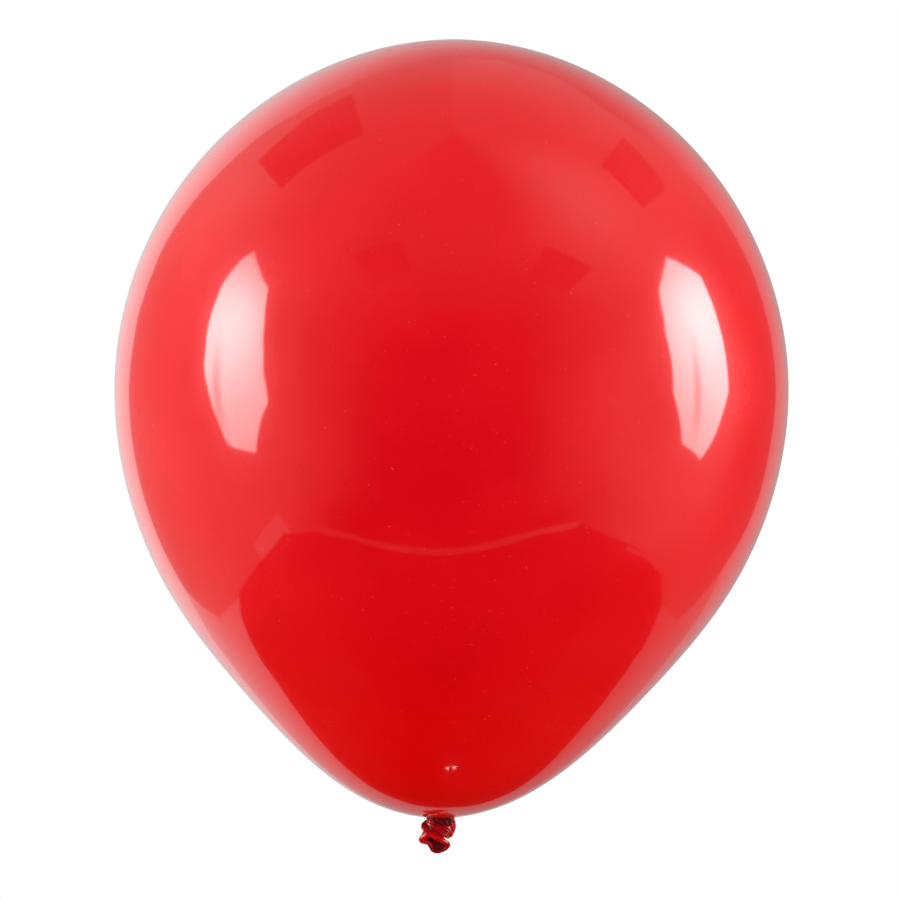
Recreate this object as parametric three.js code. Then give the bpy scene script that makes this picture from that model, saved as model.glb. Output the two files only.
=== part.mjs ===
// Inflated round latex balloon, tied off with an overhand knot in its own neck.
//
// Millimetres, +Z up. The origin is on the neck's axis at the tie point, level with the lowest
// part of the inflated skin, between the skin and the knot. The crown is at the top, the knot
// hangs below. +X is to the right of someone who faces the open mouth of the tail, and -Y is
// towards them.
//
// A latex balloon is one dipped piece. It is split here where its form and its stretch change:
//   envelope     the inflated skin, a thin film from the crown to the throat's opening
//   neck_stem    the pinched neck between the throat and the knot, where a ribbon is tied
//   knot_core    the standing part of the neck inside the knot
//   knot_wrap    the turn of the neck round that core
//   tail         the free end of the neck, an open cup
//   rolled_lip   the rolled bead round the mouth of the tail
import * as THREE from "three";

// ---- driving dimensions -------------------------------------------------------------------
const HEIGHT = 334.8; // crown to lowest skin
const WIDEST_Z = 184.4; // height of the widest level above the origin
// Half section of the skin as a distance from (0, WIDEST_Z), a cosine series in the angle from
// the crown (0) to the throat (pi). The widest level comes out 290 mm across.
const PROFILE = [
  152.272, -9.409, 9.87, -4.927, 3.637, -2.022, 1.372, -0.699, 0.39,
];
// Sideways lean of the level centres, a polynomial in height / HEIGHT: the knot sits 5 mm to
// one side of the body's centre, as on most hand-tied balloons.
const LEAN = [0, 20.4, -24.0, 0.47, 8.93];
const DIMPLE_DEPTH = 3.2; // round the throat the skin stands back from the tight neck
const DIMPLE_WIDTH = 4.8;
const SKIN = 0.015; // stretched film
const SKIN_AT_THROAT = 0.25; // unstretched rubber
const THICK_RADIUS = 24; // the film thickens inside this distance from the neck
const AROUND = 48;
const LEVELS = 23;

const THROAT_R = 3.0; // opening of the skin
const STEM_R = 2.65; // neck in that opening
const STEM_BALL_R = 2.3; // rounded lower end of the neck
const STEM_TOP = 4.0;
const BEND = new THREE.Vector3(0, 0, 1.2); // where the neck bends, centre of that round end
const CLEAR = 0.35; // between neighbours

const CORE_R = 1.75;
const CORE_BOTTOM = -6.9;

const LIP_R = 1.12; // rolled bead, 2.25 mm thick
const TAIL_WALL = 0.45;
const TAIL_BALL_R = 1.35;
const TAIL_BEND = new THREE.Vector3(-4.9, -1.6, -6.9); // where the tail leaves the knot

const FILM_RED = 0xd8061f;
const NECK_RED = 0xa80318;

// ---- helpers ------------------------------------------------------------------------------
const V = (x, y, z) => new THREE.Vector3(x, y, z);

const film = new THREE.MeshStandardMaterial({
  color: FILM_RED,
  roughness: 0.12,
  metalness: 0,
});
const rubber = new THREE.MeshStandardMaterial({
  color: NECK_RED,
  roughness: 0.3,
  metalness: 0,
});

// A closed body from a row of rings with the same number of points, capped at both ends, or
// joined into a ring if closed is true.
function loft(rings, closed = false) {
  const n = rings[0].length;
  const points = rings.flat();
  const faces = [];
  const rows = closed ? rings.length : rings.length - 1;
  for (let i = 0; i < rows; i++) {
    const a = i * n;
    const b = ((i + 1) % rings.length) * n;
    for (let k = 0; k < n; k++) {
      const l = (k + 1) % n;
      faces.push([a + k, b + k, b + l], [a + k, b + l, a + l]);
    }
  }
  if (!closed) {
    for (const [ring, start, turn] of [
      [rings[0], 0, 1],
      [rings.at(-1), (rings.length - 1) * n, -1],
    ]) {
      const centre = ring
        .reduce((sum, p) => sum.add(p), V(0, 0, 0))
        .multiplyScalar(1 / n);
      const c = points.push(centre) - 1;
      for (let k = 0; k < n; k++) {
        const l = (k + 1) % n;
        faces.push(
          turn > 0
            ? [c, start + k, start + l]
            : [c, start + l, start + k],
        );
      }
    }
  }
  let volume = 0;
  for (const [a, b, c] of faces)
    volume += points[a].dot(V(0, 0, 0).crossVectors(points[b], points[c]));
  if (volume < 0) faces.forEach((f) => f.reverse());
  const geometry = new THREE.BufferGeometry();
  geometry.setFromPoints(points);
  geometry.setIndex(faces.flat());
  geometry.computeVertexNormals();
  return geometry;
}

function add(group, name, geometry, material) {
  const mesh = new THREE.Mesh(geometry, material);
  mesh.name = name;
  group.add(mesh);
  return mesh;
}

// ---- the inflated skin --------------------------------------------------------------------
const lean = (z) =>
  LEAN.reduce((sum, c, k) => sum + c * Math.pow(z / HEIGHT, k), 0);

function skinAt(angle) {
  const d = PROFILE.reduce((sum, c, k) => sum + c * Math.cos(k * angle), 0);
  const r = d * Math.sin(angle);
  let z = WIDEST_Z + d * Math.cos(angle);
  if (angle > Math.PI / 2)
    z += DIMPLE_DEPTH * Math.exp(-((r / DIMPLE_WIDTH) ** 2));
  return new THREE.Vector2(r, z);
}

function envelope() {
  // Angles from the throat's edge to the crown, closer together near the throat.
  let low = Math.PI * 0.9;
  let high = Math.PI * 0.999;
  for (let i = 0; i < 60; i++) {
    const mid = (low + high) / 2;
    if (skinAt(mid).x > THROAT_R) low = mid;
    else high = mid;
  }
  const edge = low;
  const near = [3.0, 4.3, 5.8, 7.6, 10, 13.5, 19, 28]; // radii of the rings in the dimple
  const angles = near.slice(1).map((r) => {
    let a = Math.PI * 0.8;
    let b = edge;
    for (let i = 0; i < 60; i++) {
      const mid = (a + b) / 2;
      if (skinAt(mid).x > r) a = mid;
      else b = mid;
    }
    return a;
  });
  const first = angles.at(-1);
  const all = [edge, ...angles];
  for (let i = 1; i < LEVELS - near.length; i++)
    all.push(first * (1 - i / (LEVELS - near.length)));
  const outer = all.map(skinAt);
  const inner = all.map((angle, i) => {
    const a = skinAt(angle + 1e-4);
    const b = skinAt(angle - 1e-4);
    const along = b.sub(a).normalize();
    const inward = new THREE.Vector2(-along.y, along.x);
    const share = Math.max(0, 1 - outer[i].x / THICK_RADIUS);
    const nearThroat = angle > Math.PI / 2 ? share * share : 0;
    const wall = SKIN + (SKIN_AT_THROAT - SKIN) * nearThroat;
    return outer[i].clone().addScaledVector(inward, wall);
  });
  const top = skinAt(0).y;
  const profile = [
    new THREE.Vector2(0, top - SKIN),
    ...inner.reverse(),
    ...outer,
    new THREE.Vector2(0, top),
  ];
  const geometry = new THREE.LatheGeometry(profile, AROUND);
  geometry.rotateX(Math.PI / 2);
  const p = geometry.attributes.position;
  for (let i = 0; i < p.count; i++)
    p.setX(i, p.getX(i) + lean(p.getZ(i)) - lean(0));
  geometry.computeVertexNormals();
  return geometry;
}

// ---- the neck and the knot ----------------------------------------------------------------
// The neck's own pleats make its section a soft star. It turns in the throat's round opening.
function neckStem() {
  const rings = [];
  const stations = [];
  for (let i = 0; i <= 4; i++)
    stations.push([
      STEM_TOP - (i * (STEM_TOP - BEND.z)) / 4,
      STEM_R - (STEM_R - STEM_BALL_R) * (i / 4),
    ]);
  for (let i = 1; i <= 5; i++) {
    const a = (i / 6) * (Math.PI / 2);
    stations.push([
      BEND.z - STEM_BALL_R * Math.sin(a),
      STEM_BALL_R * Math.cos(a),
    ]);
  }
  for (const [z, r] of stations) {
    const ring = [];
    for (let k = 0; k < 24; k++) {
      const a = (k / 24) * 2 * Math.PI;
      ring.push(V(r * Math.cos(a), r * Math.sin(a), z));
    }
    rings.push(ring);
  }
  return loft(rings);
}

function knotCore() {
  const rings = [];
  const top = BEND.z - STEM_BALL_R - CLEAR;
  const stations = [
    [top, 1.45],
    [top - 0.5, CORE_R],
    [(top + CORE_BOTTOM) / 2, CORE_R],
    [CORE_BOTTOM + 0.6, CORE_R],
    [CORE_BOTTOM, 1.2],
  ];
  for (const [z, r] of stations) {
    const ring = [];
    for (let k = 0; k < 16; k++) {
      const a = (k / 16) * 2 * Math.PI;
      ring.push(V(r * Math.cos(a), r * Math.sin(a), z));
    }
    rings.push(ring);
  }
  return loft(rings);
}

// The turn: down across the front from the upper left, round the right side, behind, and out
// at the left, where it comes forward into the tail. [x, y, z, half width across, half width along Z]
const WRAP = [
  [-1.9, 3.75, -1.9, 1.2, 1.25],
  [-4.1, 1.6, -1.7, 1.5, 1.5],
  [-3.95, -1.9, -2.0, 1.6, 1.75],
  [-0.9, -4.2, -2.8, 1.75, 2.3],
  [2.7, -3.4, -3.8, 1.75, 3.0],
  [4.35, -0.4, -4.7, 1.75, 3.3],
  [3.6, 2.6, -5.5, 1.65, 2.2],
  [0.6, 4.4, -5.8, 1.6, 1.7],
  [-3.2, 4.3, -5.2, 1.6, 1.65],
  [-6.4, 2.6, -4.7, 1.6, 1.6],
  [-7.3, -0.6, -4.3, 1.5, 1.5],
];

function knotWrap() {
  const path = new THREE.CatmullRomCurve3(
    WRAP.map((w) => V(w[0], w[1], w[2])),
    false,
    "centripetal",
  );
  const steps = 34;
  const sides = 12;
  const rings = [];
  for (let i = 0; i <= steps; i++) {
    const t = i / steps;
    const p = path.getPoint(t);
    const along = path.getTangent(t);
    const out = V(p.x, p.y, 0);
    out.addScaledVector(along, -out.dot(along)).normalize();
    const up = V(0, 0, 0).crossVectors(along, out);
    const at = t * (WRAP.length - 1);
    const k = Math.min(Math.floor(at), WRAP.length - 2);
    const f = at - k;
    const blend = f * f * (3 - 2 * f);
    const across = WRAP[k][3] + (WRAP[k + 1][3] - WRAP[k][3]) * blend;
    const tall = WRAP[k][4] + (WRAP[k + 1][4] - WRAP[k][4]) * blend;
    const ring = [];
    for (let s = 0; s < sides; s++) {
      const a = (s / sides) * 2 * Math.PI;
      ring.push(
        p
          .clone()
          .addScaledVector(out, across * Math.cos(a))
          .addScaledVector(up, tall * Math.sin(a)),
      );
    }
    rings.push(ring);
  }
  return loft(rings);
}

// ---- the free end -------------------------------------------------------------------------
// Centre line of the bead round the mouth, which opens down and to the front.
const MOUTH = [
  [2.9, -2.9, -11.2],
  [2.4, -1.7, -13.0],
  [0.2, -1.0, -14.4],
  [-2.6, -1.0, -14.4],
  [-4.9, -1.6, -13.1],
  [-6.9, -2.4, -11.4],
  [-8.0, -3.2, -9.9],
  [-6.9, -4.4, -9.1],
  [-4.2, -5.2, -9.2],
  [-1.2, -5.2, -9.8],
  [1.4, -4.3, -10.3],
];
const mouth = new THREE.CatmullRomCurve3(
  MOUTH.map((m) => V(...m)),
  true,
  "centripetal",
);
const mouthCentre = V(-2.5, -3.0, -11.6);

function rolledLip() {
  const steps = 44;
  const sides = 8;
  const frames = mouth.computeFrenetFrames(steps, true);
  const rings = [];
  for (let i = 0; i < steps; i++) {
    const p = mouth.getPointAt(i / steps);
    const ring = [];
    for (let s = 0; s < sides; s++) {
      const a = (s / sides) * 2 * Math.PI;
      ring.push(
        p
          .clone()
          .addScaledVector(frames.normals[i], LIP_R * Math.cos(a))
          .addScaledVector(frames.binormals[i], LIP_R * Math.sin(a)),
      );
    }
    rings.push(ring);
  }
  return loft(rings, true);
}

// A cup from the round end at the knot to just short of the bead, which it points at.
function tail() {
  const sides = 24;
  const towards = mouthCentre.clone().sub(TAIL_BEND).normalize();
  const rimPoints = [];
  for (let k = 0; k < sides; k++) rimPoints.push(mouth.getPointAt(k / sides));
  // Each mouth point's angle round the cup's axis: the round sections use the same angles.
  const first = V(0, 0, 0).crossVectors(towards, V(0, 1, 0)).normalize();
  const second = V(0, 0, 0).crossVectors(towards, first);
  const angles = rimPoints.map((p) => {
    const d = p.clone().sub(TAIL_BEND);
    return Math.atan2(d.dot(second), d.dot(first));
  });
  const round = (centre, r) =>
    angles.map((a) =>
      centre
        .clone()
        .addScaledVector(first, r * Math.cos(a))
        .addScaledVector(second, r * Math.sin(a)),
    );
  const collar = round(TAIL_BEND, TAIL_BALL_R);
  const outer = [];
  for (let i = 1; i <= 3; i++) {
    const a = -Math.PI / 2 + (i / 4) * (Math.PI / 2);
    outer.push(
      round(
        TAIL_BEND.clone().addScaledVector(towards, TAIL_BALL_R * Math.sin(a)),
        TAIL_BALL_R * Math.cos(a),
      ),
    );
  }
  // The wall between the collar and the bead, at a share t of the way, offset outwards by by.
  const wall = (t, by) =>
    rimPoints.map((p, k) => {
      const back = collar[k].clone().sub(p);
      const end = p
        .clone()
        .addScaledVector(back.clone().normalize(), LIP_R + 2 * CLEAR);
      const at = collar[k].clone().lerp(end, t);
      const axis = TAIL_BEND.clone().lerp(mouthCentre, t);
      const out = at.clone().sub(axis);
      out.addScaledVector(back, -out.dot(back) / back.lengthSq()).normalize();
      return at.addScaledVector(out, by);
    });
  for (const t of [0, 0.2, 0.45, 0.75, 1]) outer.push(wall(t, TAIL_WALL / 2));
  const inner = [1, 0.75, 0.45].map((t) => wall(t, -TAIL_WALL / 2));
  return loft([...outer, ...inner]);
}

// ---- assembly -----------------------------------------------------------------------------
const balloon = new THREE.Group();
add(balloon, "envelope", envelope(), film);
const neck = new THREE.Group();
balloon.add(neck);
add(neck, "neck_stem", neckStem(), rubber);
const knot = new THREE.Group();
neck.add(knot);
add(knot, "knot_core", knotCore(), rubber);
add(knot, "knot_wrap", knotWrap(), rubber);
const freeEnd = new THREE.Group();
knot.add(freeEnd);
add(freeEnd, "tail", tail(), rubber);
add(freeEnd, "rolled_lip", rolledLip(), rubber);

export default balloon;
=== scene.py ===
# Looks of an inflated round latex balloon, tied off with an overhand knot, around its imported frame.
# Metres, the frame's own axes: +Z up, origin at the tie point, -Y towards the camera.
import math

import bpy
import numpy as np
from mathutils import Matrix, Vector


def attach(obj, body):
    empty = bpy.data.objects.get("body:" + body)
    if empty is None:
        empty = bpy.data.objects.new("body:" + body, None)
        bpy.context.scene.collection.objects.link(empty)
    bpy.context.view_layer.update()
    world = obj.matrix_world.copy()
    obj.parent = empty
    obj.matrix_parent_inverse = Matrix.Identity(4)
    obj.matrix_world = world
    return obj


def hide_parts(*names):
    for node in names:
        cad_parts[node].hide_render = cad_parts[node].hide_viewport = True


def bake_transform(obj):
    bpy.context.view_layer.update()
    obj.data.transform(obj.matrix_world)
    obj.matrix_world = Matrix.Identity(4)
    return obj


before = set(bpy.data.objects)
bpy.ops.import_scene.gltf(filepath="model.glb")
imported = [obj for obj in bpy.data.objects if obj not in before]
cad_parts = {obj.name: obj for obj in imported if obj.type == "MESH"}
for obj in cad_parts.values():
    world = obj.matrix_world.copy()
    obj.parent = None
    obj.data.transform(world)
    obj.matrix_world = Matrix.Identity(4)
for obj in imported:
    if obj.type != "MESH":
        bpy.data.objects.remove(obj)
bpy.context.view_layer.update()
MM = 0.001

# ------------------------------------------------------------------------------ small helpers


def smooth(t):
    t = np.clip(t, 0.0, 1.0)
    return t * t * (3 - 2 * t)


def catmull(points, t, closed=False):
    """Points of a centripetal-like Catmull-Rom spline through rows of points at t in 0..1."""
    p = np.asarray(points, float)
    n = len(p)
    t = np.asarray(t, float)
    if closed:
        s = (t % 1.0) * n
        i = np.floor(s).astype(int) % n
        f = s - np.floor(s)
        a, b, c, d = p[(i - 1) % n], p[i], p[(i + 1) % n], p[(i + 2) % n]
    else:
        s = np.clip(t, 0, 1) * (n - 1)
        i = np.minimum(np.floor(s).astype(int), n - 2)
        f = s - i
        ends = np.vstack([2 * p[0] - p[1], p, 2 * p[-1] - p[-2]])
        a, b, c, d = ends[i], ends[i + 1], ends[i + 2], ends[i + 3]
    f = f[:, None]
    return 0.5 * (
        2 * b
        + (c - a) * f
        + (2 * a - 5 * b + 4 * c - d) * f**2
        + (3 * b - a - 3 * c + d) * f**3
    )


def unit(v):
    v = np.asarray(v, float)
    return v / np.maximum(np.linalg.norm(v, axis=-1, keepdims=True), 1e-12)


def ring_mesh(name, rings, closed=False, caps=(True, True)):
    """A mesh from an array rings[i, k, 3], joined row by row, capped with a centre point."""
    rings = np.asarray(rings, float)
    m, n, _ = rings.shape
    verts = rings.reshape(-1, 3)
    i = np.arange(m if closed else m - 1)[:, None]
    k = np.arange(n)[None, :]
    a, b = i * n, ((i + 1) % m) * n
    quads = np.stack([a + k, a + (k + 1) % n, b + (k + 1) % n, b + k], -1)
    faces = [tuple(q) for q in quads.reshape(-1, 4).tolist()]
    extra = []
    if not closed:
        for end, row, flip in ((caps[0], 0, True), (caps[1], m - 1, False)):
            if not end:
                continue
            c = len(verts) + len(extra)
            extra.append(rings[row].mean(0))
            s = row * n
            for j in range(n):
                l = (j + 1) % n
                faces.append((c, s + l, s + j) if flip else (c, s + j, s + l))
    if extra:
        verts = np.vstack([verts, extra])
    # outward faces: the signed volume decides
    tri = np.array([(f[0], f[x], f[x + 1]) for f in faces for x in range(1, len(f) - 1)])
    p, q, r = verts[tri[:, 0]], verts[tri[:, 1]], verts[tri[:, 2]]
    if np.einsum("ij,ij->i", p, np.cross(q, r)).sum() < 0:
        faces = [f[::-1] for f in faces]
    mesh = bpy.data.meshes.new(name)
    mesh.from_pydata(verts.tolist(), [], faces)
    mesh.validate()
    mesh.shade_smooth()
    o = bpy.data.objects.new(name, mesh)
    bpy.context.scene.collection.objects.link(o)
    return o


def wander(x, seed, waves=5, lowest=1):
    """A smooth periodic function of an angle, about -1..1, the same on every run."""
    rng = np.random.default_rng(seed)
    total = np.zeros_like(x)
    size = 0
    for w in range(lowest, lowest + waves):
        a = rng.uniform(0.4, 1.0) / math.sqrt(w)
        total = total + a * np.sin(w * x + rng.uniform(0, 2 * math.pi))
        size += a * a / 2
    return total / math.sqrt(2 * size)


def pleats(phi, along, count, seed, sharp=0.62, drift=0.5):
    """Folds of gathered rubber: round ridges with sharp valleys between, 0 in a valley and 1 on
    a ridge. Their spacing and depth vary round the section and drift along it."""
    warp = 0.55 * wander(phi, seed, 4) + drift * wander(along + 0.7, seed + 1, 3)
    wide = np.abs(np.sin(0.5 * count * phi + 1.6 * warp)) ** sharp
    fine = np.abs(np.sin(0.5 * (2 * count + 1) * phi - 1.1 * warp + 2.1 * along)) ** 0.9
    share = 0.16 + 0.12 * wander(phi + 1.3 * along, seed + 2, 3)
    return (1 - share) * wide + share * fine


# ------------------------------------------------------------------------------ the skin

HEIGHT = 334.8
WIDEST_Z = 184.412
PROFILE = [152.275, -9.4, 9.876, -4.918, 3.64, -2.017, 1.368, -0.706, 0.383, -0.1, 0.02]
LEAN = [0.0, 20.375, -23.986, 0.473, 8.933]
NECK_PLEATS = 15


def lean(z):
    u = z / HEIGHT
    return sum(c * u**k for k, c in enumerate(LEAN))


def skin_rz(angle):
    d = sum(c * np.cos(k * angle) for k, c in enumerate(PROFILE))
    return d * np.sin(angle), WIDEST_Z + d * np.cos(angle)


def skin_z_at(radius):
    """Height of the skin's underside at a radius near the throat."""
    a = np.linspace(math.pi * 0.8, math.pi, 4000)
    r, z = skin_rz(a)
    return np.interp(radius, r[::-1], z[::-1])


def make_envelope():
    rows, cols = ((200, 340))
    a = np.linspace(math.pi * 0.8, math.pi, 4000)
    r, _ = skin_rz(a)
    first = float(np.interp(-16.0, -r, a))
    theta = np.linspace(0.004, first, rows)
    r, z = skin_rz(theta)
    # the underside turns down into the neck
    rn = np.concatenate([np.linspace(15.6, 9.0, 14), np.linspace(8.7, 6.0, 22)])
    zn = skin_z_at(rn) - 0.30 * np.clip((7.6 - rn) / 1.6, 0, None) ** 2.0
    tuck_r = np.array([5.85, 5.6, 5.2, 4.7, 4.1])
    tuck_z = zn[-1] + np.array([-0.05, -0.04, 0.02, 0.12, 0.3])
    r = np.concatenate([r, rn, tuck_r])
    z = np.concatenate([z, zn, tuck_z])
    phi = np.linspace(0, 2 * math.pi, cols, endpoint=False)
    R, P = np.meshgrid(r, phi, indexing="ij")
    Z = np.repeat(z[:, None], cols, 1)
    # puckers that radiate from the neck and die out in the skin
    near = np.where(Z < 20, 1.0, 0.0)
    reach = smooth((15.5 + 3.0 * wander(P, 31, 4) - R) / 11.0)
    ridge = pleats(P, 0 * P, NECK_PLEATS, 7) - 0.6
    Z = Z - near * reach**2 * 0.30 * ridge
    R = R * (1 + near * smooth((8.0 - R) / 2.5) * 0.035 * ridge)
    # a thick spot at the crown, where the former's tip was
    tip = (Z > 300) * np.exp(-((R / 7.5) ** 2))
    Z = Z + 0.30 * tip
    X = R * np.cos(P) + lean(Z) * smooth(np.abs(Z) / 6.0)
    Y = R * np.sin(P)
    o = ring_mesh("envelope_skin", np.stack([X, Y, Z], -1) * MM)
    return o


def make_neck():
    """The pinched neck from inside the skin down into the knot."""
    cols = 168
    z = np.array([1.2, 0.9, 0.5, 0.1, -0.3, -0.6, -0.9, -1.2, -1.5, -1.8, -2.1, -2.5, -2.9, -3.3, -3.6])
    r = np.array([3.8, 4.8, 5.4, 5.75, 5.9, 5.95, 5.95, 5.9, 5.8, 5.65, 5.45, 5.1, 4.6, 3.8, 2.6])
    zz = np.linspace(1.2, -3.6, 34)
    rr = np.interp(-zz, -z, r)
    phi = np.linspace(0, 2 * math.pi, cols, endpoint=False)
    R, P = np.meshgrid(rr, phi, indexing="ij")
    Z = np.repeat(zz[:, None], cols, 1)
    # it is wrung to the right, so it hangs lower there
    lower = smooth(-Z / 2.4)
    ridge = pleats(P + 0.16 * (Z + 0.5), 0.15 * Z, NECK_PLEATS, 7) - 0.6
    Z = Z - lower * (0.45 + 1.05 * np.cos(P + 0.5))
    R = R * (1 + (0.05 + 0.07 * smooth(-Z / 2.0)) * ridge)
    X = R * np.cos(P) + 0.45 * smooth(-Z / 2.5)
    Y = R * np.sin(P) * 0.96
    return ring_mesh("neck_gather", np.stack([X, Y, Z], -1) * MM)


# ------------------------------------------------------------------------------ the knot


def strand(name, keys, count, seed, depth, along=90, around=96, closed_ends=(0.5, 0.5)):
    """A gathered strand. Each key is (x, y, z, half width, half thickness, nx, ny, nz): the
    thickness runs along n, the width across it. depth is the pleats' share of the half width."""
    keys = np.array(keys, float)
    # round ends: the section closes over a short length at both ends
    t = np.linspace(0, 1, along)
    c = catmull(keys[:, :3], t)
    w = catmull(keys[:, 3:5], t)
    n = unit(catmull(keys[:, 5:8], t))
    tangent = unit(np.gradient(c, axis=0))
    n = unit(n - np.sum(n * tangent, 1)[:, None] * tangent)
    b = np.cross(tangent, n)
    length = np.concatenate([[0], np.cumsum(np.linalg.norm(np.diff(c, axis=0), axis=1))])
    total = length[-1]
    close = np.ones(along)
    for reach, dist in ((closed_ends[0], length), (closed_ends[1], total - length)):
        if reach:
            s = np.clip(dist / reach, 0, 1)
            close = close * np.sqrt(np.clip(1 - (1 - s) ** 2, 0.0009, 1))
    phi = np.linspace(0, 2 * math.pi, around, endpoint=False)
    L, P = np.meshgrid(length / 9.0, phi, indexing="ij")
    ridge = pleats(P, L, count, seed) - 0.55
    amp = (1 + depth * ridge * (0.75 + 0.35 * wander(L * 2.2 + 2 * P, seed + 5, 3))) * close[:, None]
    # a slightly squared oval, as rubber pressed against its neighbour is
    q = (np.abs(np.cos(P)) ** 2.4 + np.abs(np.sin(P)) ** 2.4) ** (-1 / 2.4)
    A = w[:, :1] * q * np.cos(P) * amp
    B = w[:, 1:2] * q * np.sin(P) * amp
    rings = c[:, None, :] + A[..., None] * b[:, None, :] + B[..., None] * n[:, None, :]
    return ring_mesh(name, rings * MM)


# The turn of the knot: from inside the neck's left side it fans out across the front, curls down
# at the right, goes round behind, comes out at the left as a thin lobe, and runs into the tail.
WRAP = [
    (-1.6, 1.6, -0.6, 2.0, 1.8, -0.6, 0.7, 0.4),
    (-3.6, 0.2, -1.0, 2.1, 1.9, -0.95, 0.1, 0.3),
    (-4.0, -1.5, -1.5, 2.2, 1.8, -0.7, -0.7, 0.2),
    (-2.4, -2.7, -2.1, 2.9, 1.8, -0.2, -0.97, 0.1),
    (0.4, -2.9, -2.7, 4.1, 1.9, 0.05, -1.0, 0.0),
    (2.6, -2.4, -4.1, 4.4, 2.0, 0.40, -0.9, -0.05),
    (3.8, -1.2, -5.9, 3.2, 1.9, 0.72, -0.62, -0.3),
    (3.6, 0.6, -7.0, 2.2, 1.8, 0.75, 0.1, -0.65),
    (2.0, 2.5, -6.6, 2.1, 1.7, 0.35, 0.8, -0.5),
    (-0.6, 3.6, -5.2, 2.4, 1.7, -0.1, 0.98, -0.1),
    (-3.4, 3.2, -4.0, 2.2, 1.6, -0.55, 0.82, 0.1),
    (-5.2, 1.6, -3.0, 1.6, 1.25, -0.8, 0.45, 0.45),
    (-6.5, -0.2, -3.1, 1.3, 1.1, -0.85, 0.0, 0.55),
    (-7.2, -1.7, -4.0, 1.1, 1.0, -0.9, -0.3, 0.3),
    (-6.8, -2.3, -4.8, 1.0, 0.9, -0.7, -0.7, 0.1),
    (-5.8, -2.8, -5.6, 0.95, 0.85, -0.3, -0.9, 0.2),
]

CORE = [
    (0.2, 0.3, 0.2, 3.4, 2.8, 0.0, -1.0, 0.0),
    (0.0, 0.4, -2.0, 3.6, 2.6, 0.0, -1.0, 0.0),
    (-1.2, 0.4, -4.2, 3.4, 2.4, 0.0, -1.0, 0.0),
    (-2.0, 0.2, -6.0, 2.7, 2.0, 0.0, -1.0, 0.0),
    (-2.4, -0.2, -7.3, 1.9, 1.6, 0.0, -1.0, 0.0),
]


def make_knot():
    wrap = strand("knot_turn", WRAP, 11, 11, 0.46, along=230, around=168, closed_ends=(0.6, 0.9))
    core = strand("knot_standing_part", CORE, 13, 23, 0.14, along=70, around=96, closed_ends=(0.6, 1.2))
    return wrap, core


# ------------------------------------------------------------------------------ the free end

# Centre line of the rolled bead, a mouth that opens down and to the front. The same row of the
# second list is the spot on the gathered strand that the film at that spot comes from.
MOUTH = [
    (3.20, -3.0, -11.5),
    (2.70, -1.9, -13.1),
    (0.9, -1.3, -14.3),
    (-1.4, -1.1, -14.8),
    (-3.3, -1.3, -14.1),
    (-4.0, -1.8, -12.6),
    (-4.9, -2.4, -11.1),
    (-6.5, -3.0, -10.5),
    (-8.0, -3.6, -9.9),
    (-8.0, -4.3, -8.9),
    (-6.4, -5.0, -7.9),
    (-4.8, -5.6, -7.1),
    (-1.8, -5.8, -8.5),
    (1.3, -5.1, -10.1),
]
STRAND = [
    (2.3, -4.1, -9.9),
    (1.7, -3.4, -9.7),
    (0.3, -3.2, -8.9),
    (-1.4, -3.4, -8.0),
    (-2.8, -3.5, -7.2),
    (-4.0, -3.5, -6.6),
    (-5.0, -3.3, -6.1),
    (-5.9, -3.2, -5.7),
    (-6.6, -3.5, -5.4),
    (-6.4, -4.1, -5.1),
    (-5.5, -4.7, -5.1),
    (-3.9, -5.2, -5.7),
    (-1.7, -5.5, -6.8),
    (0.9, -5.1, -8.4),
]
BEAD_R = 1.12


def mouth_frames(n):
    t = np.linspace(0, 1, n, endpoint=False)
    c = catmull(MOUTH, t, closed=True)
    tangent = unit(np.roll(c, -1, 0) - np.roll(c, 1, 0))
    return c, tangent


def make_lip():
    n, m = ((260, 36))
    c, tangent = mouth_frames(n)
    axis = unit(np.array([0.08, 0.82, 0.57]))[None, :]
    out = unit(np.cross(tangent, axis))
    up = np.cross(tangent, out)
    s = np.linspace(0, 2 * math.pi, n, endpoint=False)
    phi = np.linspace(0, 2 * math.pi, m, endpoint=False)
    S, P = np.meshgrid(s, phi, indexing="ij")
    # the bead is a tight roll of film: its edge shows as one shallow line that winds a little
    seam = np.exp(-((((P - 2.2 - 0.5 * wander(S, 41, 3)) + math.pi) % (2 * math.pi) - math.pi) / 0.16) ** 2)
    slim = 1 + 0.14 * smooth((c[:, 2:3] + 9.4) / 2.0) - 0.26 * smooth((-11.0 - c[:, 2:3]) / 2.5)
    radius = BEAD_R * slim * (1 + 0.05 * wander(S, 43, 6) + 0.02 * wander(3 * S, 44, 5) - 0.07 * seam)
    rings = (
        c[:, None, :]
        + (radius * np.cos(P))[..., None] * out[:, None, :]
        + (radius * np.sin(P))[..., None] * up[:, None, :]
    )
    return ring_mesh("rolled_bead", rings * MM, closed=True)


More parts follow.
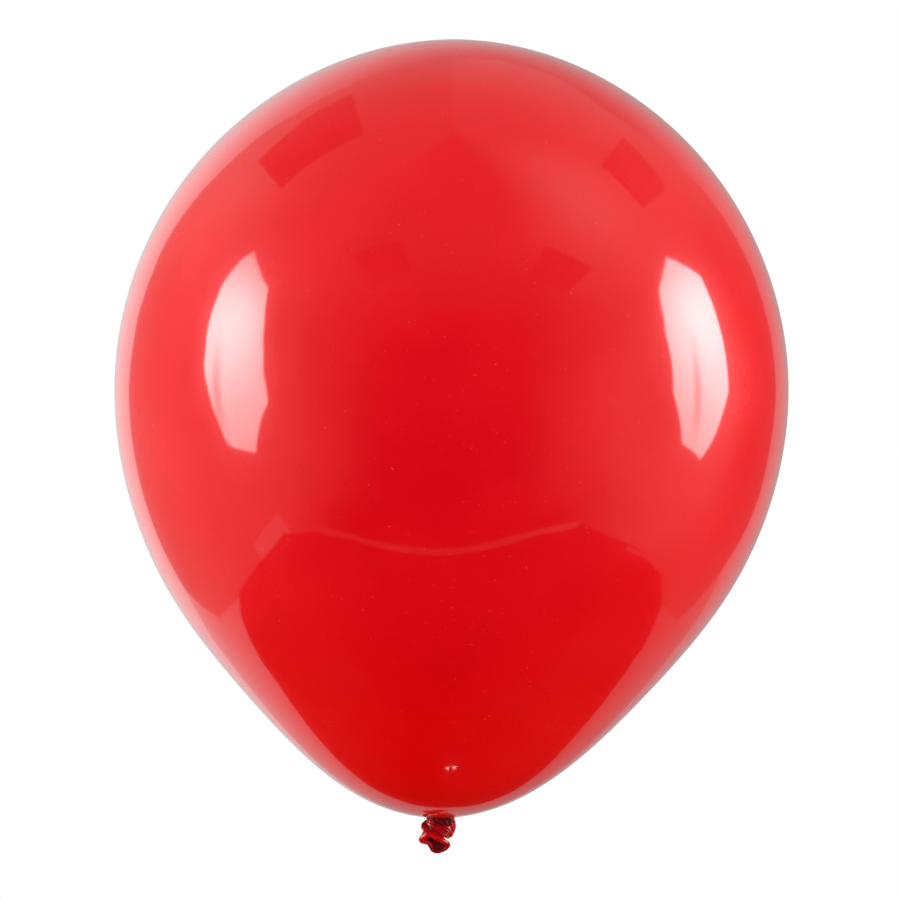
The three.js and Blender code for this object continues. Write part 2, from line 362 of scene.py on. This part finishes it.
def make_tail():
    """The strand opens into a short cup: outer wall down to the bead, then back up inside."""
    n = 320
    c, tangent = mouth_frames(n)
    t = np.linspace(0, 1, n, endpoint=False)
    root = catmull(STRAND, t, closed=True)
    s = 2 * math.pi * t
    fold = pleats(s, 0 * s, 15, 51) - 0.6
    line = root.mean(0)
    # the strand's own middle line, for the rounded top
    d = unit(np.array([8.4, -0.6, -3.8]))
    middle = line + ((root - line) @ d)[:, None] * d * 0.86
    lift = np.array([0.10, 0.15, 1.0])
    rows = [
        middle * (1 - q) + root * q + lift * h
        for q, h in ((0.05, 0.98), (0.3, 0.93), (0.58, 0.76), (0.82, 0.45), (0.95, 0.2))
    ]

    def level(share, grow):
        p = root * (1 - share) + c * share
        mid = p.mean(0)
        down = unit(c - root)
        along = unit(np.roll(p, -1, 0) - np.roll(p, 1, 0))
        out = unit(np.cross(along, down))
        out *= np.sign(np.mean(np.sum(out * (p - mid), 1)))
        swell = 0.42 * math.sin(math.pi * share) ** 1.2
        depth = 0.42 * math.sin(math.pi * min(1, 0.15 + 0.85 * share)) ** 0.8
        return p + out * (swell + grow + depth * fold)[:, None]

    rows += [level(t, 0.16) for t in np.linspace(0.0, 1.0, 26)]
    rows += [level(t, -0.16) for t in np.linspace(1.0, 0.22, 22)]
    o = ring_mesh("tail_cup", np.array(rows) * MM)
    # how far inside the cup each point lies. The base colour is darkened by it, because this studio
    # light reaches further into the cup than it should: painted shade, not a different rubber
    outer = len(rows) - 22
    depth = np.zeros(len(o.data.vertices))
    depth[outer * n : len(rows) * n] = np.repeat(smooth(np.arange(22) / 4.0), n)
    depth[len(rows) * n + 1 :] = 1.0
    layer = o.data.attributes.new("inside", "FLOAT", "POINT")
    layer.data.foreach_set("value", depth.astype(np.float32))
    return o


# ------------------------------------------------------------------------------ materials


def material(name):
    m = bpy.data.materials.new(name)
    m.use_nodes = True
    nt = m.node_tree
    bsdf = next(x for x in nt.nodes if x.type == "BSDF_PRINCIPLED")
    return m, nt, bsdf


def node(nt, kind, **values):
    x = nt.nodes.new(kind)
    for k, v in values.items():
        if k.startswith("in_"):
            key = k[3:]
            x.inputs[int(key) if key.isdigit() else key.replace("_", " ")].default_value = v
        else:
            setattr(x, k, v)
    return x


def mix_colour(nt, factor, a, b):
    x = nt.nodes.new("ShaderNodeMix")
    x.data_type = "RGBA"
    for socket, value in ((x.inputs[0], factor), (x.inputs[6], a), (x.inputs[7], b)):
        if isinstance(value, bpy.types.NodeSocket):
            nt.links.new(value, socket)
        elif isinstance(value, (int, float)):
            socket.default_value = value
        else:
            socket.default_value = (*value, 1)
    return x.outputs[2]


def ramp(nt, value, low, high, to_low=0.0, to_high=1.0, kind="SMOOTHSTEP"):
    x = node(nt, "ShaderNodeMapRange", interpolation_type=kind, clamp=True)
    nt.links.new(value, x.inputs[0])
    for i, v in ((1, low), (2, high), (3, to_low), (4, to_high)):
        x.inputs[i].default_value = v
    return x.outputs[0]


def math_node(nt, operation, a, b=None, clamp=False):
    x = node(nt, "ShaderNodeMath", operation=operation, use_clamp=clamp)
    for socket, value in ((x.inputs[0], a), (x.inputs[1], b)):
        if value is None:
            continue
        if isinstance(value, bpy.types.NodeSocket):
            nt.links.new(value, socket)
        else:
            socket.default_value = value
    return x.outputs[0]


def noise(nt, vector, scale, detail=3.0, rough=0.5):
    x = node(nt, "ShaderNodeTexNoise")
    x.inputs["Scale"].default_value = scale
    x.inputs["Detail"].default_value = detail
    x.inputs["Roughness"].default_value = rough
    nt.links.new(vector, x.inputs["Vector"])
    return x.outputs[0]


FILM = (0.79, 0.0008, 0.0092)
FILM_THIN = (0.85, 0.0018, 0.0112)
# painted light: a brighter, purer red for the underside, to make up for the weaker light from below
FILM_PAINTED_LIGHT_BELOW = (0.90, 0.0006, 0.0004)
# the deeper red of thicker film; round the throat it is also painted shade
FILM_THICK_AND_SHADE = (0.24, 0.0010, 0.0030)


def film_material():
    m, nt, bsdf = material("stretched_latex_film")
    co = node(nt, "ShaderNodeTexCoord").outputs["Object"]
    sep = node(nt, "ShaderNodeSeparateXYZ")
    nt.links.new(co, sep.inputs[0])
    x, y, z = sep.outputs
    # the film is thicker, so deeper in colour, round the throat and at the crown; round the throat the darkening is
    # also painted shade under the neck and knot.
    # The colour below is a fit, painted light: a brighter red towards the bottom that makes up for the weaker light
    # from below, and says nothing about thickness
    r2 = math_node(nt, "ADD", math_node(nt, "MULTIPLY", x, x), math_node(nt, "MULTIPLY", y, y))
    r = math_node(nt, "SQRT", r2)
    below = ramp(nt, z, 0.150, 0.012, 0.0, 1.0, "LINEAR")
    throat = math_node(nt, "MULTIPLY", ramp(nt, r, 0.0125, 0.0062), ramp(nt, z, 0.012, 0.006))
    crown_z = ramp(nt, z, 0.30, 0.335)
    cloudy = noise(nt, co, 16.0, 4.0, 0.55)
    patches = ramp(nt, cloudy, 0.36, 0.66, 0.0, 1.0, "LINEAR")
    streaky = node(nt, "ShaderNodeMapping")
    streaky.inputs["Scale"].default_value = (34, 34, 5)
    nt.links.new(co, streaky.inputs["Vector"])
    streaks = noise(nt, streaky.outputs[0], 1.0, 4.0, 0.6)
    colour = mix_colour(nt, patches, FILM, FILM_THIN)
    # painted light: the red grows brighter towards the bottom
    colour = mix_colour(nt, below, colour, FILM_PAINTED_LIGHT_BELOW)
    # round the throat: the thicker film's deeper colour, and painted shade under the neck and knot
    colour = mix_colour(nt, math_node(nt, "MULTIPLY", throat, 0.95), colour, FILM_THICK_AND_SHADE)
    tip = math_node(nt, "MULTIPLY", crown_z, ramp(nt, r, 0.016, 0.002, 0.0, 0.35))
    colour = mix_colour(nt, tip, colour, FILM_THICK_AND_SHADE)
    faint = math_node(nt, "MULTIPLY", ramp(nt, streaks, 0.5, 0.8), 0.06)
    colour = mix_colour(nt, faint, colour, FILM_THICK_AND_SHADE)
    # dust specks
    specks = noise(nt, co, 900.0, 1.0, 0.5)
    dust = math_node(nt, "MULTIPLY", ramp(nt, specks, 0.72, 0.80), 0.20)
    colour = mix_colour(nt, dust, colour, (0.85, 0.25, 0.22))
    nt.links.new(colour, bsdf.inputs["Base Color"])
    # the skin's own haze
    base_rough = ramp(nt, cloudy, 0.3, 0.7, 0.17, 0.30, "LINEAR")
    nt.links.new(base_rough, bsdf.inputs["Roughness"])
    # faint waviness of the film
    swell = noise(nt, co, 26.0, 2.0, 0.45)
    fine = noise(nt, co, 420.0, 2.0, 0.5)
    bump = node(nt, "ShaderNodeBump")
    bump.inputs["Strength"].default_value = 0.35
    bump.inputs["Distance"].default_value = 0.0006
    nt.links.new(swell, bump.inputs["Height"])
    bump2 = node(nt, "ShaderNodeBump")
    bump2.inputs["Strength"].default_value = 0.06
    bump2.inputs["Distance"].default_value = 0.00004
    nt.links.new(fine, bump2.inputs["Height"])
    nt.links.new(bump.outputs[0], bump2.inputs["Normal"])
    nt.links.new(bump2.outputs[0], bsdf.inputs["Normal"])
    nt.links.new(bump2.outputs[0], bsdf.inputs["Coat Normal"])
    bsdf.inputs["IOR"].default_value = 1.5
    bsdf.inputs["Specular IOR Level"].default_value = 0.09
    bsdf.inputs["Coat Weight"].default_value = 1.0
    bsdf.inputs["Coat Roughness"].default_value = 0.058
    bsdf.inputs["Coat IOR"].default_value = 1.5
    bsdf.inputs["Sheen Weight"].default_value = 0.02
    bsdf.inputs["Sheen Roughness"].default_value = 0.3
    bsdf.inputs["Sheen Tint"].default_value = (1.0, 0.42, 0.02, 1)
    return m


def neck_material(name, base, dark, rough, coat=0.55, gloss=0.18, painted_shade_below=None):
    """Unstretched rubber: thicker, so deeper and a little duller, with a fine skin along it. The creases get painted
    shade and the ridges painted light.
    """
    m, nt, bsdf = material(name)
    co = node(nt, "ShaderNodeTexCoord").outputs["Object"]
    geo = node(nt, "ShaderNodeNewGeometry")
    patches = noise(nt, co, 420.0, 4.0, 0.6)
    colour = mix_colour(nt, ramp(nt, patches, 0.35, 0.68), base, dark)
    # painted shade and painted light: the valleys are darker where shade falls in the creases, and the ridges a little
    # paler where light catches them
    valley = ramp(nt, geo.outputs["Pointiness"], 0.44, 0.52, 1.0, 0.0)
    colour = mix_colour(nt, math_node(nt, "MULTIPLY", valley, 0.92), colour, (dark[0] * 0.16, dark[1] * 0.2, dark[2] * 0.25))
    ridge = ramp(nt, geo.outputs["Pointiness"], 0.53, 0.62)
    colour = mix_colour(nt, math_node(nt, "MULTIPLY", ridge, 0.45), colour, (0.75, 0.012, 0.022))
    if painted_shade_below:
        # painted shade: the underside should be darker than this studio light leaves it
        sep = node(nt, "ShaderNodeSeparateXYZ")
        nt.links.new(co, sep.inputs[0])
        low = ramp(nt, sep.outputs[2], painted_shade_below, painted_shade_below - 0.004)
        colour = mix_colour(nt, math_node(nt, "MULTIPLY", low, 0.8), colour, (dark[0] * 0.45, dark[1] * 0.45, dark[2] * 0.5))
    # painted shade: darker the further inside the cup a point lies
    inside = node(nt, "ShaderNodeAttribute", attribute_name="inside")
    colour = mix_colour(nt, math_node(nt, "MULTIPLY", inside.outputs["Fac"], 0.85), colour, (dark[0] * 0.2, dark[1] * 0.2, dark[2] * 0.25))
    nt.links.new(colour, bsdf.inputs["Base Color"])
    nt.links.new(ramp(nt, patches, 0.3, 0.7, rough - 0.05, rough + 0.08, "LINEAR"), bsdf.inputs["Roughness"])
    skin = noise(nt, co, 2600.0, 3.0, 0.6)
    fold = noise(nt, co, 700.0, 2.0, 0.5)
    b1 = node(nt, "ShaderNodeBump")
    b1.inputs["Strength"].default_value = 0.5
    b1.inputs["Distance"].default_value = 0.00012
    nt.links.new(fold, b1.inputs["Height"])
    b2 = node(nt, "ShaderNodeBump")
    b2.inputs["Strength"].default_value = 0.35
    b2.inputs["Distance"].default_value = 0.00003
    nt.links.new(skin, b2.inputs["Height"])
    nt.links.new(b1.outputs[0], b2.inputs["Normal"])
    nt.links.new(b2.outputs[0], bsdf.inputs["Normal"])
    bsdf.inputs["IOR"].default_value = 1.5
    bsdf.inputs["Specular IOR Level"].default_value = gloss
    bsdf.inputs["Coat Weight"].default_value = coat
    bsdf.inputs["Coat Roughness"].default_value = 0.10
    return m


# ------------------------------------------------------------------------------ camera and stage

camera = bpy.data.objects.new("camera", bpy.data.cameras.new("camera"))
camera.data.lens = 200
camera.data.sensor_width = 36
camera.data.clip_start = 0.05
camera.data.clip_end = 60
camera.location = (0.0042, -2.156, 0.1582)
camera.rotation_euler = (math.radians(90), 0, 0)
bpy.context.scene.collection.objects.link(camera)
bpy.context.scene.camera = camera

scene = bpy.context.scene
scene.view_settings.view_transform = "Standard"
scene.view_settings.look = "None"


def emitter(name, strength, colour=(1, 1, 1)):
    m = bpy.data.materials.new(name)
    m.use_nodes = True
    nt = m.node_tree
    nt.nodes.clear()
    out = nt.nodes.new("ShaderNodeOutputMaterial")
    e = nt.nodes.new("ShaderNodeEmission")
    e.inputs[0].default_value = (*colour, 1)
    e.inputs[1].default_value = strength
    nt.links.new(e.outputs[0], out.inputs[0])
    return m, nt, e


def panel(name, corners, mat):
    """A flat light panel or flag, seen only in reflections."""
    mesh = bpy.data.meshes.new(name)
    mesh.from_pydata([tuple(c) for c in corners], [], [tuple(range(len(corners)))])
    o = bpy.data.objects.new(name, mesh)
    o.data.materials.append(mat)
    scene.collection.objects.link(o)
    o.visible_camera = False
    o.visible_diffuse = False
    o.visible_transmission = False
    o.visible_shadow = False
    return o


def card(name, corners, strength, shade=None):
    """A flat card of a given brightness. shade(nt, position) may return a socket that scales it."""
    m, nt, e = emitter(name + "_face", strength)
    if shade:
        sep = node(nt, "ShaderNodeSeparateXYZ")
        nt.links.new(node(nt, "ShaderNodeNewGeometry").outputs["Position"], sep.inputs[0])
        nt.links.new(math_node(nt, "MULTIPLY", shade(nt, *sep.outputs), strength), e.inputs[1])
    return panel(name, corners, m)


def hill(nt, value, middle, reach):
    """1 at the middle, falling smoothly to 0 at reach on either side."""
    return ramp(nt, math_node(nt, "ABSOLUTE", math_node(nt, "SUBTRACT", value, middle)), reach, 0.0)


def box_cloth(peak_y, streak_y, streak_lean):
    """Brightness over a softbox's cloth: a lamp behind its upper half, a dimmer lower half and
    the upright shadow of the lamp's stand."""

    def shade(nt, x, y, z):
        lamp = math_node(nt, "MULTIPLY", hill(nt, z, 0.60, 0.62), hill(nt, y, peak_y, 0.85))
        low = hill(nt, z, 0.06, 0.55)
        leaning = math_node(nt, "SUBTRACT", y, math_node(nt, "MULTIPLY", z, streak_lean))
        streak = math_node(nt, "MULTIPLY", hill(nt, leaning, streak_y, 0.075), hill(nt, z, 0.22, 0.42))
        value = math_node(nt, "ADD", 0.36, math_node(nt, "MULTIPLY", lamp, 0.66))
        value = math_node(nt, "ADD", value, math_node(nt, "MULTIPLY", low, 0.20))
        return math_node(nt, "SUBTRACT", value, math_node(nt, "MULTIPLY", streak, 0.34))

    return shade


card(
    "softbox_left",
    [(-1.45, y, z) for y, z in [
        (-0.19, 1.16), (-0.45, 1.02), (-0.58, 0.97), (-0.68, 0.60), (-0.74, 0.315), (-0.80, 0.10),
        (-0.71, -0.01), (-0.57, -0.24), (-0.34, -0.17), (-0.27, -0.13), (-0.16, 0.07), (-0.07, 0.29),
        (-0.02, 0.53), (-0.01, 0.84), (-0.10, 1.05)]],
    13.0,
    box_cloth(-0.30, -0.23, 0.10),
)
card(
    "softbox_right",
    [(1.45, y, z) for y, z in [
        (-0.03, 1.04), (0.295, 0.82), (0.295, 0.63), (0.30, 0.46), (0.32, 0.30), (0.33, 0.185),
        (0.26, 0.06), (0.17, -0.07), (0.08, -0.19), (-0.06, -0.15), (-0.195, -0.12), (-0.27, 0.03),
        (-0.36, 0.18), (-0.36, 0.35), (-0.38, 0.55), (-0.295, 0.87)]],
    12.6,
    box_cloth(-0.02, -0.06, -0.05),
)

# lamps that are off in a pale ceiling
for name, x0, y0, x1, y1, level in (
    ("ceiling_left", -1.52, 0.14, -0.61, 1.05, 0.20),
    ("ceiling_right", 1.22, 0.21, 1.93, 1.08, 0.22),
    ("ceiling_front_left", -1.34, -2.42, -0.60, -1.55, 0.15),
    ("ceiling_front_right", 1.19, -2.30, 2.10, -1.44, 0.20),
):
    card(
        name,
        [(x0, y0, 1.9), (x1, y0, 1.9), (x1, y1, 1.9), (x0, y1, 1.9)],
        level,
        lambda nt, x, y, z: math_node(
            nt, "ADD", 0.94, math_node(nt, "MULTIPLY", math_node(nt, "SINE", math_node(nt, "MULTIPLY", x, 80.0)), 0.10)
        ),
    )


def paper(nt, x, y, z):
    """The paper behind is lit from the left and falls off towards the right and the top."""
    across = math_node(
        nt,
        "ADD",
        ramp(nt, x, -1.15, 0.35, 1.0, 0.36),
        math_node(nt, "MULTIPLY", ramp(nt, x, -0.9, -1.25), 0.10),
    )
    return math_node(nt, "MULTIPLY", across, ramp(nt, z, 0.75, 1.75, 1.0, 0.62))


card(
    "backdrop",
    [(x, 1.2, z) for x, z in [
        (-0.96, -0.42), (-1.02, -0.13), (-1.07, 0.05), (-1.09, 0.20), (-1.10, 0.41), (-1.10, 0.62), (-1.10, 0.94),
        (-1.10, 1.16), (-1.04, 1.30), (-0.86, 1.64), (-0.54, 1.70), (-0.24, 1.62), (0.0, 1.56), (0.20, 1.44),
        (0.45, 1.42), (0.81, 1.62), (1.00, 1.48), (1.07, 1.11), (1.06, 0.785), (1.05, 0.52), (1.04, 0.33),
        (1.02, 0.17), (1.05, 0.0), (1.0, -0.1), (1.03, -0.25), (1.08, -0.42)]],
    1.10,
    paper,
)
card(
    "backdrop_floor",
    [(-0.72, 0.16, -0.42), (0.68, 0.20, -0.42), (0.70, 0.62, -0.42), (1.08, 1.2, -0.42), (-0.96, 1.2, -0.42), (-0.74, 0.60, -0.42)],
    0.76,
    paper,
)
# a low dark table with a pale front edge
card(
    "table",
    [(-0.78, -0.36, -0.4), (-0.60, -0.56, -0.4), (-0.16, -0.585, -0.4), (0.42, -0.60, -0.4), (0.66, -0.54, -0.4),
     (0.79, -0.20, -0.4), (0.79, 0.06, -0.4), (0.66, 0.26, -0.4), (0.535, 0.37, -0.4), (0.43, 0.41, -0.4), (0.345, 0.43, -0.4),
     (0.27, 0.49, -0.4), (0.20, 0.52, -0.4), (0.11, 0.48, -0.4), (0.03, 0.41, -0.4), (-0.12, 0.385, -0.4), (-0.22, 0.39, -0.4),
     (-0.31, 0.385, -0.4), (-0.38, 0.375, -0.4), (-0.455, 0.375, -0.4), (-0.53, 0.365, -0.4), (-0.635, 0.29, -0.4), (-0.72, 0.17, -0.4)],
    0.001,
)
card(
    "table_edge",
    [(-0.66, -0.50, -0.399), (-0.45, -0.565, -0.399), (-0.16, -0.575, -0.399), (0.02, -0.58, -0.399), (0.22, -0.598, -0.399),
     (0.42, -0.60, -0.399), (0.62, -0.54, -0.399), (0.66, -0.575, -0.399), (0.43, -0.64, -0.399), (0.22, -0.635, -0.399),
     (0.0, -0.618, -0.399), (-0.17, -0.61, -0.399), (-0.46, -0.60, -0.399), (-0.68, -0.545, -0.399)],
    0.30,
    lambda nt, x, y, z: math_node(nt, "ADD", 0.8, math_node(nt, "MULTIPLY", ramp(nt, x, 0.1, 0.6), 0.5)),
)
card("table_corner", [(0.755, -0.24, -0.398), (0.79, -0.10, -0.398), (0.785, 0.07, -0.398), (0.76, 0.07, -0.398), (0.765, -0.10, -0.398), (0.735, -0.22, -0.398)], 0.34)
card("bench", [(-0.98, -0.46, -0.41), (-0.76, -0.40, -0.41), (-0.74, -0.12, -0.41), (-0.88, -0.13, -0.41)], 0.72)
# two small lamps behind the camera side's floor
for name, x in (("pilot_a", 0.012), ("pilot_b", 0.032)):
    card(name, [(x - 0.005, 0.032, -0.39), (x + 0.005, 0.032, -0.39), (x + 0.005, 0.040, -0.39), (x - 0.005, 0.040, -0.39)], 8.0)


def world_light():
    """White to the camera. In reflections, a studio: pale sides, a grey ceiling, a dark camera
    side and a dark floor. As diffuse light, an even soft wrap."""
    world = bpy.data.worlds.new("studio")
    scene.world = world
    world.use_nodes = True
    world.cycles.sampling_method = "NONE"
    nt = world.node_tree
    nt.nodes.clear()
    out = nt.nodes.new("ShaderNodeOutputWorld")
    co = node(nt, "ShaderNodeTexCoord").outputs["Generated"]
    sep = node(nt, "ShaderNodeSeparateXYZ")
    nt.links.new(co, sep.inputs[0])
    x, y, z = sep.outputs
    deg = 180 / math.pi
    el = math_node(nt, "MULTIPLY", math_node(nt, "ARCSINE", z), deg)
    az = math_node(
        nt,
        "MULTIPLY",
        math_node(nt, "ARCTAN2", x, math_node(nt, "MULTIPLY", y, -1.0)),
        deg,
    )
    aaz = math_node(nt, "ABSOLUTE", az)
    right = ramp(nt, x, -0.25, 0.25)

    def total(*parts):
        value = parts[0]
        for p in parts[1:]:
            value = math_node(nt, "ADD", value, p)
        return value

    def times(a, b):
        return math_node(nt, "MULTIPLY", a, b)

    # the walls, by azimuth: dark round the camera, pale at the sides, dimmer behind on the right
    front = ramp(nt, aaz, 18, 66, 0.0, 0.40)
    back = total(
        times(ramp(nt, aaz, 112, 142), math_node(nt, "SUBTRACT", 1.0, right)),
        times(ramp(nt, aaz, 98, 128), right),
    )
    fall = ramp(nt, right, 0, 1, 0.10, 0.29, "LINEAR")
    walls = math_node(nt, "SUBTRACT", front, times(back, fall))
    # the ceiling
    up = ramp(nt, el, 8, 50)
    over_front = ramp(nt, aaz, 10, 70, 0.27, 0.38)
    ceiling = total(over_front, times(ramp(nt, az, 40, 100), 0.06))
    value = total(times(walls, math_node(nt, "SUBTRACT", 1.0, up)), times(ceiling, up))
    spill = times(hill(nt, az, 72, 44), hill(nt, el, 52, 34))
    spill_left = times(hill(nt, az, -112, 44), hill(nt, el, 40, 26))
    value = total(value, times(spill, 0.62), times(spill_left, 0.34))
    # the floor
    low = ramp(nt, el, -18, -40)
    floor_level = times(ramp(nt, aaz, 42, 75, 0.0, 0.36), ramp(nt, az, 85, 110, 1.0, 0.55))
    value = total(times(value, math_node(nt, "SUBTRACT", 1.0, low)), times(floor_level, low))

    glossy = node(nt, "ShaderNodeBackground")
    nt.links.new(value, glossy.inputs[1])
    glossy.inputs[0].default_value = (1, 0.985, 0.90, 1)

    # even wrap for diffuse light: brighter from the sides, darker from below
    below = math_node(nt, "MAXIMUM", times(z, -1.0), 0.0)
    above = math_node(nt, "MAXIMUM", z, 0.0)
    even = total(0.46, times(below, -0.32), times(above, -0.12))
    square = times(x, x)
    sides = times(times(square, ramp(nt, z, -0.45, 0.25, 0.74, 1.06)), 2.38)
    diffuse = nt.nodes.new("ShaderNodeAddShader")
    for k, (value, tint) in enumerate(((even, (1, 1, 1, 1)), (sides, (1, 0.98, 0.76, 1)))):
        part = node(nt, "ShaderNodeBackground")
        part.inputs[0].default_value = tint
        nt.links.new(value, part.inputs[1])
        nt.links.new(part.outputs[0], diffuse.inputs[k])

    white = node(nt, "ShaderNodeBackground")
    white.inputs[0].default_value = (1, 1, 1, 1)
    white.inputs[1].default_value = 1.0

    path = node(nt, "ShaderNodeLightPath")
    first = nt.nodes.new("ShaderNodeMixShader")
    nt.links.new(path.outputs["Is Glossy Ray"], first.inputs[0])
    nt.links.new(diffuse.outputs[0], first.inputs[1])
    nt.links.new(glossy.outputs[0], first.inputs[2])
    second = nt.nodes.new("ShaderNodeMixShader")
    nt.links.new(path.outputs["Is Camera Ray"], second.inputs[0])
    nt.links.new(first.outputs[0], second.inputs[1])
    nt.links.new(white.outputs[0], second.inputs[2])
    nt.links.new(second.outputs[0], out.inputs[0])


world_light()


def make_floor():
    """A plain pale floor below the balloon. It fades into the white surroundings well before the
    camera's view, and it doesn't hide the object from a camera below it."""
    n, rings = 96, [0.0, 0.3, 0.6, 0.9, 1.2, 1.6, 2.0, 2.6]
    z = -0.42
    verts, faces = [(0, 0, z)], []
    for r in rings[1:]:
        verts += [(r * math.cos(2 * math.pi * k / n), r * math.sin(2 * math.pi * k / n), z) for k in range(n)]
    for k in range(n):
        faces.append((0, 1 + k, 1 + (k + 1) % n))
    for i in range(len(rings) - 2):
        a, b = 1 + i * n, 1 + (i + 1) * n
        for k in range(n):
            l = (k + 1) % n
            faces.append((a + k, b + k, b + l, a + l))
    mesh = bpy.data.meshes.new("floor")
    mesh.from_pydata(verts, [], faces)
    o = bpy.data.objects.new("floor", mesh)
    scene.collection.objects.link(o)
    m = bpy.data.materials.new("pale_floor")
    m.use_nodes = True
    nt = m.node_tree
    nt.nodes.clear()
    out = nt.nodes.new("ShaderNodeOutputMaterial")
    paint = node(nt, "ShaderNodeBsdfDiffuse")
    geo = node(nt, "ShaderNodeNewGeometry")
    grain = noise(nt, geo.outputs["Position"], 9.0, 3.0, 0.5)
    nt.links.new(mix_colour(nt, ramp(nt, grain, 0.3, 0.7, 0.0, 1.0, "LINEAR"), (0.845, 0.85, 0.925), (0.87, 0.875, 0.95)), paint.inputs[0])
    clear = node(nt, "ShaderNodeBsdfTransparent")
    length = node(nt, "ShaderNodeVectorMath", operation="LENGTH")
    flat = node(nt, "ShaderNodeVectorMath", operation="MULTIPLY")
    flat.inputs[1].default_value = (1, 1, 0)
    nt.links.new(geo.outputs["Position"], flat.inputs[0])
    nt.links.new(flat.outputs[0], length.inputs[0])
    fade = ramp(nt, length.outputs["Value"], 0.5, 2.3)
    gone = math_node(nt, "MAXIMUM", fade, geo.outputs["Backfacing"])
    mixer = nt.nodes.new("ShaderNodeMixShader")
    nt.links.new(gone, mixer.inputs[0])
    nt.links.new(paint.outputs[0], mixer.inputs[1])
    nt.links.new(clear.outputs[0], mixer.inputs[2])
    nt.links.new(mixer.outputs[0], out.inputs[0])
    o.data.materials.append(m)
    o.visible_glossy = False
    o.visible_diffuse = False
    return o


make_floor()

# ------------------------------------------------------------------------------ assembly

film = film_material()
rubber = neck_material("unstretched_latex", (0.62, 0.0012, 0.0075), (0.36, 0.0005, 0.0035), 0.22)
# the gathered neck is the same rubber made much darker: painted shade where the balloon above shades it
gathered = neck_material("gathered_latex_painted_shade", (0.20, 0.0005, 0.0035), (0.11, 0.0003, 0.0018), 0.36, coat=0.06, gloss=0.08)
# the bead's underside, below z = -10.2 mm, gets painted shade
bead = neck_material("rolled_latex_bead", (0.68, 0.0020, 0.0100), (0.42, 0.0009, 0.0050), 0.20, painted_shade_below=-0.0102)

envelope = make_envelope()
envelope.data.materials.append(film)
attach(envelope, "envelope")
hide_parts("envelope")

neck = make_neck()
neck.data.materials.append(gathered)
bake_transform(neck)
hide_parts("neck_stem")

turn, core = make_knot()
for piece, cad in ((turn, "knot_wrap"), (core, "knot_core")):
    piece.data.materials.append(rubber)
    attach(piece, "knot")
    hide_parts(cad)

tail = make_tail()
tail.data.materials.append(rubber)
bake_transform(tail)
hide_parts("tail")

lip = make_lip()
lip.data.materials.append(bead)
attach(lip, "tail")
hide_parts("rolled_lip")
